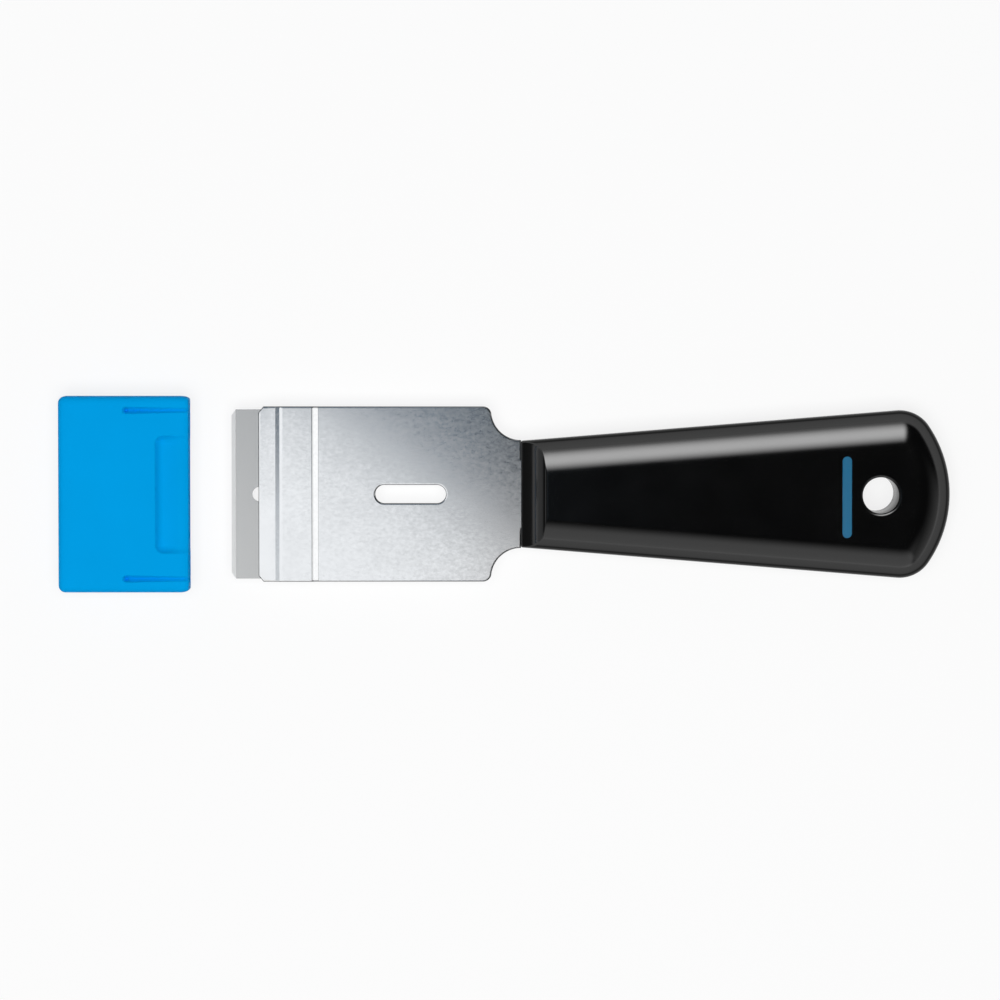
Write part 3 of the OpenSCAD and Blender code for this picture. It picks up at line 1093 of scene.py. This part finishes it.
@dataclass
class BladeCap:
    """The moulded cap: a flat sleeve with thumb recesses, tapering grooves and a pocket.

    One sheet of quads runs over the upper half: up the closed end, along the top, over the mouth and
    back along the pocket's ceiling. Its mirror image below the middle plane closes the cap.
    """

    length: float = 30.0
    half_w: float = 22.55
    half_t: float = 3.9
    edge_r: float = 1.6
    mouth_l: float = 2.2
    mouth_r: float = 0.75
    mouth_inner_r: float = 0.3
    seam_depth: float = 0.05
    pocket_x: float = 2.0
    pocket_half_w: float = 20.45
    pocket_half_t: float = 2.2
    pocket_r: float = 0.4
    recess_x: float = 22.3
    recess_half_w: float = 13.55
    recess_depth: float = 1.25
    recess_rise: float = 0.75
    latch_depth: float = 0.75
    recess_slope: float = 1.9
    recess_side_slope: float = 1.9
    groove_x: float = 15.7
    groove_y: float = 19.35
    groove_end: float = 28.9
    groove_half_w: float = 0.82
    groove_taper: float = 0.7
    groove_depth: float = 1.2
    groove_end_depth: float = 0.5
    groove_fade: float = 0.94
    pit_r: float = 0.6
    pit_depth: float = 0.75
    off_groove: float = 9.0
    rings: tuple[float, ...] = (2.0, 1.94, 1.0, 0.84, 0.68, 0.52, 0.36, 0.2)
    pit_lines: tuple[float, ...] = (-0.6, -0.48, -0.24, 0.0, 0.24, 0.48, 0.6)
    groove_lines: tuple[float, ...] = (0.72, 0.86, 0.96, 1.0, 1.06)
    end_columns: tuple[float, ...] = (3.0, 5.0, 7.5, 10.0, 12.0, 13.4, 14.2)
    middle_columns: tuple[float, ...] = (16.6, 17.2, 18.2, 19.3, 20.4, 21.3, 21.8)
    mouth_columns: tuple[float, ...] = (25.2, 26.2, 27.1)
    middle_lines: tuple[float, ...] = (1.5, 4.0, 7.0, 9.5)
    side_lines: tuple[float, ...] = (14.6, 16.0, 17.2)
    ceiling_columns: tuple[float, ...] = (29.0, 27.0, 25.5, 24.4, 24.0, 23.6, 23.2, 22.8, 22.4, 22.2)
    deep_columns: tuple[float, ...] = (20.0, 15.0, 9.0, 4.0)
    slope_steps: int = 12
    mouth_steps: int = 8
    mouth_inner_steps: int = 3
    mouth_start: float = 1e-6
    sharp_degrees: float = 60.0

    def flat_columns(self) -> list[float]:
        """Lists the lines along the flat of the cap, close together where its surface bends.

        Returns:
            The X of each line.
        """
        end = [self.groove_x - step for step in reversed(self.groove_lines)]
        pit = [self.groove_x + step for step in self.pit_lines]
        steps = range(-1, self.slope_steps + 2)
        slope = [self.recess_x + self.recess_slope * step / self.slope_steps for step in steps]
        start = [self.edge_r, *self.end_columns]
        return start + end + pit + [*self.middle_columns, *slope, *self.mouth_columns]

    def cross_lines(self) -> list[tuple[float, float, float]]:
        """Lists the lines across the cap from one side to the other.

        Returns:
            For each line its Y on the flat, its distance from the nearest groove's middle (or off_groove
            where it isn't one of a groove's lines), and its ring round the edge, negative on the near side.
        """
        steps = reversed(range(-1, self.slope_steps + 2))
        recess = [self.recess_half_w - self.recess_side_slope * step / self.slope_steps for step in steps]
        groove = [-step for step in reversed(self.groove_lines)] + [*self.pit_lines, *self.groove_lines]
        lines = [(y, self.off_groove, 0.0) for y in (*self.middle_lines, *recess, *self.side_lines)]
        lines += [(self.groove_y + step, step, 0.0) for step in groove]
        flat_y = self.half_w - self.edge_r
        lines += [(flat_y, self.off_groove, ring) for ring in (0.0, *sorted(self.rings))]
        return [(-y, step, -ring) for y, step, ring in reversed(lines)] + lines

    def over_edge(
        self, end_ring: float, side_ring: float, radius: float, half_t: float
    ) -> tuple[float, float, float, float]:
        """Rolls a point over the edge of a box: up to ring 1 on the rounding, up to ring 2 on the wall.

        Args:
            end_ring: The point's ring over the edge at the end.
            side_ring: Its ring over the edge at the side.
            radius: The edge's radius.
            half_t: Half the box's height.

        Returns:
            How far out the point lies from the flat, its height, the way it faces in plan, and its lean.
        """
        ring = max(end_ring, side_ring)
        lean = min(ring, 1.0) * math.pi / 2
        wall = max(ring - 1.0, 0.0) * (half_t - radius)
        share = min(end_ring, side_ring) / ring * math.pi / 4
        turn = share if end_ring >= side_ring else QUARTER - share
        return radius * math.sin(lean), half_t - radius + radius * math.cos(lean) - wall, turn, lean

    def recess_share(self, x: float, y: float) -> float:
        """Gives how far down a place lies in the thumb recess.

        Args:
            x: The place along the cap.
            y: The place across it.

        Returns:
            A share from 0 on the flat to 1 on the recess's floor.
        """
        from_end = max(1.0 - (x - self.recess_x) / self.recess_slope, 0.0)
        from_side = max(1.0 - (self.recess_half_w - abs(y)) / self.recess_side_slope, 0.0)
        return 1.0 - min(math.hypot(from_end, from_side), 1.0) ** 2

    def groove_drop(self, x: float, step: float) -> float:
        """Gives the depth of a groove, or of the pit at its inner end, below the flat.

        Args:
            x: The place along the cap.
            step: The distance from the groove's middle before its taper.

        Returns:
            The depth in millimetres.
        """
        run = (x - self.groove_x) / (self.groove_end - self.groove_x)
        if run >= 1.0 or step == self.off_groove:
            return 0.0
        wall = max(1.0 - math.hypot(min(x - self.groove_x, 0.0), step), 0.0)
        depth = self.groove_depth + (self.groove_end_depth - self.groove_depth) * max(run, 0.0)
        drop = depth * wall * (1.0 - smooth_step(self.groove_fade, 1.0, run))
        pit = max(1.0 - math.hypot(x - self.groove_x, step) / self.pit_r, 0.0)
        return drop + self.pit_depth * pit

    def outer_point(self, x: float, end_ring: float, mouth: float, line: tuple[float, ...]) -> Vector:
        """Places a point on the outside of the cap.

        Args:
            x: The point's column on the flat.
            end_ring: The ring over the closed end's edge, 0 away from it.
            mouth: How far over the mouth's rounding the column is, from 0 to 1.
            line: The point's line across the cap.

        Returns:
            The place.
        """
        y, step, side_ring = line
        rings = (end_ring, abs(side_ring))
        inward = self.mouth_r * (1.0 - math.cos(mouth * math.pi / 2))
        mouth_x = self.length - self.mouth_l + self.mouth_l * math.sin(mouth * math.pi / 2)
        if any(rings):
            out, z, turn, lean = self.over_edge(*rings, self.edge_r, self.half_t)
            if max(rings) == self.rings[0]:
                out -= self.seam_depth
            side_y = y + math.copysign(out * math.sin(turn) - inward * math.sin(lean), y)
            across = mouth_x if mouth else x
            return Vector((across - out * math.cos(turn), side_y, max(z - inward * math.cos(lean), 0.0)))
        if step != self.off_groove:
            share = max(x - self.groove_x, 0.0) / (self.groove_end - self.groove_x)
            taper = self.groove_half_w * (1.0 + (self.groove_taper - 1.0) * min(share, 1.0))
            x, step = self.rounded_pit(x, step)
            y = math.copysign(self.groove_y, y) + step * taper * math.copysign(1.0, y)
        rise = self.recess_rise * smooth_step(self.recess_x + self.recess_slope, self.length, x)
        drop = self.recess_depth * self.recess_share(x, y) * (1.0 - rise) + self.groove_drop(x, step)
        return Vector((mouth_x if mouth else x, y, self.half_t - (drop + inward)))

    def rounded_pit(self, x: float, step: float) -> tuple[float, float]:
        """Draws the square of lines round a groove's pit into circles.

        Args:
            x: The point's column.
            step: The point's distance from the groove's middle.

        Returns:
            The column and the distance on the circle.
        """
        along = x - self.groove_x
        size = max(abs(along), abs(step))
        if size == 0.0 or size > self.pit_lines[-1] + MERGE:
            return x, step
        shrink = size / math.hypot(along, step)
        return self.groove_x + along * shrink, step * shrink

    def inner_point(self, x: float, flare: float, end_ring: float, line: tuple[float, ...]) -> Vector:
        """Places a point on the inside of the pocket.

        Args:
            x: The point's column on the ceiling.
            flare: How far the mouth's inner edge widens the pocket here.
            end_ring: The ring down the pocket's end wall, 0 on the ceiling.
            line: The point's line across the cap.

        Returns:
            The place.
        """
        y, _, side_ring = line
        rings = (end_ring, abs(side_ring))
        inner_y = y * ((self.pocket_half_w - self.pocket_r) / (self.half_w - self.edge_r))
        if not any(rings):
            drop = self.latch_depth * self.recess_share(x, inner_y)
            return Vector((x, inner_y, self.pocket_half_t - drop + flare))
        out, z, turn, lean = self.over_edge(*rings, self.pocket_r, self.pocket_half_t)
        side_y = inner_y + math.copysign(out * math.sin(turn) + flare * math.sin(lean), y)
        return Vector((x - out * math.cos(turn), side_y, z + flare * math.cos(lean)))

    def columns(self) -> list[list[Vector]]:
        """Lists the points of the upper half.

        Returns:
            The points column by column, from the closed end over the mouth to the pocket's end.
        """
        lines = self.cross_lines()
        outer = [(self.edge_r, ring, 0.0) for ring in self.rings]
        outer += [(x, 0.0, 0.0) for x in self.flat_columns()]
        for step in range(self.mouth_steps + 1):
            outer.append((self.length - self.mouth_l, 0.0, max(step / self.mouth_steps, self.mouth_start)))
        inner = []
        for step in range(self.mouth_inner_steps + 1):
            sine = math.sin(QUARTER * step / self.mouth_inner_steps)
            inner.append((self.length - self.mouth_inner_r * sine, self.mouth_inner_r * (1.0 - sine), 0.0))
        inner += [(x, 0.0, 0.0) for x in (*self.ceiling_columns, *self.deep_columns)]
        inner += [(self.pocket_x + self.pocket_r, 0.0, ring) for ring in (0.0, *sorted(self.rings))]
        columns = [[self.outer_point(*column, line) for line in lines] for column in outer]
        return columns + [[self.inner_point(*column, line) for line in lines] for column in inner]

    def build(self, finish: MouldedBlue) -> Object:
        """Builds the cap.

        Args:
            finish: The cap's finish.

        Returns:
            The finished piece.
        """
        bm = bmesh.new()
        lay_sheet(bm, self.columns())
        merge(bm)
        mirror(bm, "Z")
        merge(bm)
        return finish_piece(bm, "moulded_blade_cap", CAP_X, [finish.material()], self.sharp_degrees)


class Reach(Enum):
    """Which of the pieces' light a softbox gives: all of it, their gloss, or their even shade."""

    ALL = "all"
    GLOSS = "gloss"
    SHADE = "shade"


class Lit(Enum):
    """What a softbox lights: everything, the black plastic, the steel, or all but the black plastic."""

    ALL = "all"
    PLASTIC = "plastic"
    STEEL = "steel"
    PALE = "pale"


@dataclass
class Softbox:
    """A flat light that runs from the middle of one edge to the middle of the opposite one.

    Attributes:
        name: The light's name.
        near: The middle of its nearer edge.
        far: The middle of its farther edge.
        width: Its width across.
        radiance: Its brightness, where 1 is white.
        reach: Which light it gives.
        lit: Which pieces it lights.
        level: Whether it hangs level and looks straight down.
        colour: The colour of its light.
        feather: The share over which its cloth dims at the near edge, the far edge and the two sides.
    """

    name: str
    near: tuple[float, float, float]
    far: tuple[float, float, float]
    width: float
    radiance: float
    reach: Reach = Reach.ALL
    lit: Lit = Lit.ALL
    level: bool = False
    colour: str = "#ffffff"
    feather: tuple[float, float, float, float] = (0.0, 0.0, 0.0, 0.0)

    def build(self, target: Vector, groups: dict[Lit, Collection]) -> None:
        """Hangs the light so that it faces the target, or the floor if it is level.

        Args:
            target: The point that the lit side looks towards.
            groups: The pieces that some of the lights are kept to.
        """
        run = Vector(self.far) - Vector(self.near)
        middle = (Vector(self.near) + Vector(self.far)) / 2
        side = run.normalized()
        facing = target - middle
        facing = -UP if self.level else (facing - side * facing.dot(side)).normalized()
        turned = Matrix((side.cross(-facing), side, -facing)).transposed().to_4x4()
        lamp = bpy.data.lights.new(self.name, "AREA")
        lamp.shape = "RECTANGLE"
        lamp.size = self.width
        lamp.size_y = run.length
        lamp.energy = self.radiance * math.pi * lamp.size * lamp.size_y
        lamp.color = to_linear(self.colour)[:3]
        if any(self.feather):
            self.dim_edges(lamp)
        holder = bpy.data.objects.new(self.name, lamp)
        holder.matrix_world = Matrix.Translation(middle) @ turned
        holder.visible_camera = False
        holder.visible_diffuse = self.reach is not Reach.GLOSS
        holder.visible_glossy = self.reach is not Reach.SHADE
        if self.lit in groups:
            holder.light_linking.receiver_collection = groups[self.lit]
        bpy.context.scene.collection.objects.link(holder)

    def dim_edges(self, lamp: AreaLight) -> None:
        """Dims the cloth softly towards the edges that have a feather.

        Args:
            lamp: The light whose brightness is dimmed.
        """
        lamp.use_nodes = True
        tree = lamp.node_tree
        cloth = add_node(tree, "NewGeometry", {}, {}).outputs["Parametric"]
        place = add_node(tree, "SeparateXYZ", {}, {"Vector": cloth}).outputs
        near, far, first, last = self.feather
        share = 1.0
        for axis, edge, inside in (("Y", 0, near), ("Y", 1, 1 - far), ("X", 0, first), ("X", 1, 1 - last)):
            if edge != inside:
                dimmed = ramp(tree, place[axis], (edge, inside), kind="SMOOTHSTEP")
                share = calculate(tree, "MULTIPLY", dimmed, share)
        set_inputs(tree, tree.nodes["Emission"], {"Strength": share})


@dataclass
class Studio:
    """The pale floor, the soft lights and the camera of the photograph."""

    look_at: Vector = field(default_factory=lambda: Vector((-0.99, -1.38, 8.5)) * METRE)
    camera_height: float = 1.055
    camera_tilt: float = 2.5
    camera_sight: float = 50.0
    frame_width: float = 0.2302
    sensor: float = 36.0
    floor_colour: str = "#fafafa"
    floor_half: float = 6.0
    floor_squares: int = 4
    floor_gap: float = 0.00005
    floor_roughness: float = 0.9
    floor_glow: float = 0.8
    world_colour: str = "#dfe3e8"
    world_strength: float = 0.04
    haze_low: float = 0.1
    haze_high: float = 0.2
    wall_away: float = 1.5
    wall_foot: float = 0.1
    wall_width: float = 1.41
    wall_glow: float = 0.85
    wall_feather: float = 0.12
    wall_tops: tuple[float, ...] = (1.8, 1.8, 3.5, 1.8, 1.8, 1.8, 3.5, 1.8)

    def build(self, plastic: Object, steel: list[Object], cap: Object) -> None:
        """Sets the camera, the floor, the world and the lights.

        Args:
            plastic: The black handle, which some of the lights are kept to.
            steel: The steel pieces, which others are kept to.
            cap: The blue cap.
        """
        scene = bpy.context.scene
        scene.view_settings.view_transform = "Standard"
        self.set_camera(scene)
        floor = self.lay_floor(scene)
        self.set_world(scene)
        lit_pieces = {Lit.PLASTIC: [plastic], Lit.STEEL: steel, Lit.PALE: [*steel, cap, floor]}
        groups = {}
        for lit, pieces in lit_pieces.items():
            groups[lit] = bpy.data.collections.new(f"lit_{lit.value}")
            for piece in pieces:
                groups[lit].objects.link(piece)
        for light in self.softboxes():
            light.build(self.look_at, groups)

    def softboxes(self) -> list[Softbox]:
        """Lists the studio's lights, all soft.

        Returns:
            The lights over the table, and the cards that stand round it.
        """
        black = {"reach": Reach.GLOSS, "lit": Lit.PLASTIC}
        steel = {"reach": Reach.GLOSS, "lit": Lit.STEEL}
        return [
            Softbox(
                "north_strip", (0.0, 0.16, 1.3), (0.0, 1.26, 0.06), width=1.0, radiance=8.8,
                feather=(0.45, 0.5, 0.3, 0.3), **black,
            ),
            Softbox(
                "top_softbox", (-0.184, 0.0895, 1.064), (-0.528, -0.4015, 1.064), width=0.612, radiance=1.08,
                feather=(0.06, 0.0, 0.0, 0.0), lit=Lit.PALE, level=True, colour="#fffcf9",
            ),
            Softbox(
                "bounce_card", (0.02, 0.05, 1.1), (-0.8, 0.05, 1.1), width=0.6, radiance=0.28,
                feather=(0.05, 0.0, 0.0, 0.0), level=True, colour="#bcd6ee",
            ),
            Softbox(
                "south_softbox", (0.1, -0.3, 1.16), (0.1, -1.5, 0.05), width=1.8, radiance=1.1,
                feather=(0.42, 0.22, 0.2, 0.2), **black,
            ),
            Softbox(
                "east_softbox", (0.72, -0.25, 1.1), (1.35, -0.6, 0.02), width=1.7, radiance=0.6,
                feather=(0.8, 0.2, 0.3, 0.3), **black,
            ),
            Softbox(
                "slope_card", (0.5, -0.14, 3.25), (2.45, -0.14, 2.25), width=0.5, radiance=1.06,
                feather=(0.15, 0.0, 0.0, 0.0), **steel,
            ),
            Softbox(
                "fold_card", (-0.8, -0.022, 1.064), (-0.8, -0.6, 1.064), width=0.24, radiance=0.72,
                feather=(0.07, 0.0, 0.0, 0.0), level=True, **steel,
            ),
            Softbox(
                "west_card", (-0.5, -0.1, 1.1), (-1.5, -0.1, 0.1), width=1.2, radiance=0.1,
                feather=(0.6, 0.0, 0.0, 0.0), **black,
            ),
            Softbox(
                "key_softbox", (-0.4, -0.1, 1.5), (0.4, -0.1, 1.5), width=0.8, radiance=9.3,
                reach=Reach.SHADE, level=True,
            ),
        ] + [self.wall(place) for place in range(len(self.wall_tops))]

    def wall(self, place: int) -> Softbox:
        """Gives one of the cards round the table, which the steel shows from other sides.

        Args:
            place: The card's place in the round, from the east by way of the north.

        Returns:
            The card.
        """
        turn = math.tau * place / len(self.wall_tops)
        x = math.cos(turn) * self.wall_away
        y = math.sin(turn) * self.wall_away
        soft = self.wall_feather
        return Softbox(
            f"wall_{place}", (x, y, self.wall_tops[place]), (x, y, self.wall_foot), self.wall_width,
            self.wall_glow, Reach.GLOSS, Lit.STEEL, feather=(soft, 0.0, soft, soft),
        )

    def set_camera(self, scene: Scene) -> None:
        """Stands the camera over the tool, leaning a little as the photograph's did.

        Args:
            scene: The scene that gets the camera.
        """
        lens = bpy.data.cameras.new("photo_camera")
        lens.sensor_width = self.sensor
        lean = math.radians(self.camera_tilt)
        away = self.camera_height / math.cos(lean)
        lens.lens = self.sensor * away / self.frame_width
        lens.clip_end = self.camera_sight
        holder = bpy.data.objects.new("photo_camera", lens)
        holder.location = self.look_at + Vector((0.0, math.sin(lean), math.cos(lean))) * away
        holder.rotation_euler = (-lean, 0.0, 0.0)
        scene.collection.objects.link(holder)
        scene.camera = holder

    def lay_floor(self, scene: Scene) -> Object:
        """Lays the pale floor that the handle lies on, a hair lower so that the two faces stay apart.

        Args:
            scene: The scene that gets the floor.

        Returns:
            The floor.
        """
        bm = bmesh.new()
        lower = Matrix.Translation((0.0, 0.0, -self.floor_gap))
        squares = {"x_segments": self.floor_squares, "y_segments": self.floor_squares}
        bmesh.ops.create_grid(bm, size=self.floor_half, matrix=lower, **squares)
        mesh = bpy.data.meshes.new("studio_floor")
        bm.to_mesh(mesh)
        bm.free()
        mesh.materials.append(self.paper())
        floor = bpy.data.objects.new("studio_floor", mesh)
        scene.collection.objects.link(floor)
        return floor

    def paper(self) -> Material:
        """Makes the white paper of the floor, which shows its shadows softly.

        Returns:
            The material.
        """
        material, tree, _ = new_material("pale_paper")
        shader = tree.nodes["Shader"]
        surface = {"Base Color": to_linear(self.floor_colour), "Roughness": self.floor_roughness}
        set_inputs(tree, shader, {**surface, "Specular IOR Level": 0.0})
        share = calculate(tree, "MULTIPLY", seen_rays(tree), self.floor_glow)
        glow = add_node(tree, "Emission", {}, {"Strength": 1.0}).outputs["Emission"]
        both = mix_shaders(tree, share, shader.outputs["BSDF"], glow)
        set_inputs(tree, tree.nodes["Output"], {"Surface": both})
        return material

    def set_world(self, scene: Scene) -> None:
        """Gives the dim, even light of the room, with a pale backdrop low down all round.

        Args:
            scene: The scene that gets the world.
        """
        world = bpy.data.worlds.new("studio_room")
        world.use_nodes = True
        tree = world.node_tree
        tree.nodes.clear()
        dim = {"Color": to_linear(self.world_colour), "Strength": self.world_strength}
        bright = {"Color": to_linear(self.floor_colour), "Strength": 1.0}
        room, backdrop = [add_node(tree, "Background", {}, look).outputs[0] for look in (dim, bright)]
        way = add_node(tree, "TexCoord", {}, {}).outputs["Generated"]
        height = add_node(tree, "SeparateXYZ", {}, {"Vector": way}).outputs["Z"]
        low = ramp(tree, height, (self.haze_high, self.haze_low), kind="SMOOTHSTEP")
        share = calculate(tree, "MULTIPLY", seen_rays(tree), low)
        both = mix_shaders(tree, share, room, backdrop)
        add_node(tree, "OutputWorld", {}, {"Surface": both})
        scene.world = world


def main() -> None:
    """Builds every piece in order and the studio."""
    logging.basicConfig(level=logging.INFO, format="%(message)s")
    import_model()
    handle = Handle().build(MouldedBlack())
    hand_over(handle, Body.SCRAPER, "handle")
    # The sheared edges' dark colour is painted shade that draws a dark line along the cut rim; their higher
    # roughness is the real sheared finish.
    cut = RolledSteel("sheared_edge_painted_shade", "#34383b", 0.6)
    steel = []
    for turn in Turn:
        steel.append(Leaf(turn).build(RolledSteel(), cut))
        hand_over(steel[-1], Body.SCRAPER, f"{turn.name.lower()}_leaf")
    strip = GroundSteel("hardened_blade_strip", "#c9c9c8", 0.26)
    ground = GroundSteel("ground_cutting_edge", "#e6e6e5", 0.36)
    steel.append(RazorBlade().build(strip, ground))
    hand_over(steel[-1], Body.RAZOR, "blade")
    steel.append(BladeSpine().build(RolledSteel("folded_spine_strip", "#aeb2b7", 0.36)))
    hand_over(steel[-1], Body.RAZOR, "blade_spine")
    cap = BladeCap().build(MouldedBlue())
    hand_over(cap, Body.CAP, "blade_cap")
    Studio().build(handle, steel, cap)


if __name__ == "__main__":
    main()
